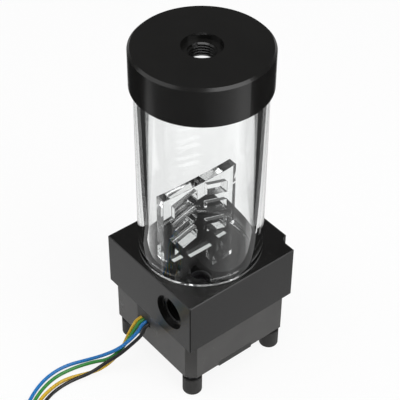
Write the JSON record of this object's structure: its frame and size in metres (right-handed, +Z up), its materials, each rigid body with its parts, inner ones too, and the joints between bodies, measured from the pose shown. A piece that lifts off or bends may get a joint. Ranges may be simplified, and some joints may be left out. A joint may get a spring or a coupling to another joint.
{
  "type": "coolant pump reservoir",
  "caption": "Clear tube reservoir with a threaded screw cap on a square pump top, with a small wet-rotor pump bolted underneath on rubber feet",
  "frame": {"origin": "on the tube's axis, in the plane the rubber feet stand on", "axes": "+Z up along the tube's axis to the fill port, -Y out of the outlet port and the side the wires leave, +Y out of the pad with the inlet port, +X to the plain side"},
  "size_m": [0.0643, 0.1575, 0.1794],
  "materials": {
    "foot_rubber": "matte",
    "zinc_steel": "bright zinc",
    "dark_steel": "black zinc",
    "body_grey": "satin",
    "lid_black": "matte",
    "board_green": "solder mask",
    "chip_black": "matte",
    "can_plastic": "satin",
    "ball_ceramic": "polished ceramic",
    "cup_graphite": "graphite-filled polymer",
    "stator_steel": "laminated",
    "coil_copper": "enamelled copper",
    "impeller_black": "satin",
    "magnet_dark": "bonded ferrite",
    "block_black": "satin machined acetal",
    "clear_acrylic": "polished clear",
    "seal_rubber": "matte",
    "wire_yellow": "satin",
    "wire_green": "satin",
    "wire_blue": "satin",
    "wire_black": "satin",
    "coil_sleeve": "satin, four insulated wires",
    "plug_black": "moulded"
  },
  "bodies": {
    "reservoir": {"rubber_feet": "foot_rubber", "foot_inserts": "zinc_steel", "clamp_studs": "dark_steel", "clamp_nuts": "dark_steel", "clamp_washers": "dark_steel", "pump_body": "body_grey", "bottom_lid": "lid_black", "circuit_board": "board_green", "board_parts": "chip_black", "wire_guide": "lid_black", "separation_can": "can_plastic", "bearing_ball": "ball_ceramic", "stator_core": "stator_steel", "stator_coils": "coil_copper", "pump_top": "block_black", "reservoir_tube": "clear_acrylic", "flow_baffle": "clear_acrylic", "pump_seal_ring": "seal_rubber", "base_seal_ring": "seal_rubber", "wire_yellow": "wire_yellow", "wire_green": "wire_green", "wire_blue": "wire_blue", "wire_black": "wire_black", "wire_coil": "coil_sleeve", "coil_tie": "lid_black", "wire_plug": "plug_black"},
    "rotor": {"impeller": "impeller_black", "rotor_magnet": "magnet_dark", "bearing_cup": "cup_graphite"},
    "cap_seal": {"cap_seal_ring": "seal_rubber"},
    "cap": {"top_cap": "block_black"}
  },
  "joints": [
    {"name": "rotor_spin", "type": "hinge", "parent": "reservoir", "child": "rotor", "pos_m": [0, 0, 0.0318], "axis": [0, 0, 1], "continuous": true},
    {"name": "cap_lift", "type": "slide", "parent": "reservoir", "child": "cap_seal", "axis": [0, 0, 1], "range_m": [0, 0.00751]},
    {"name": "cap_turn", "type": "hinge", "parent": "cap_seal", "child": "cap", "pos_m": [0, 0, 0.169], "axis": [0, 0, 1], "range_deg": [0, 1800]}
  ],
  "couplings": [
    {"joint": "cap_lift", "follows": "cap_turn", "m_per_rad": 0.00023873}
  ]
}
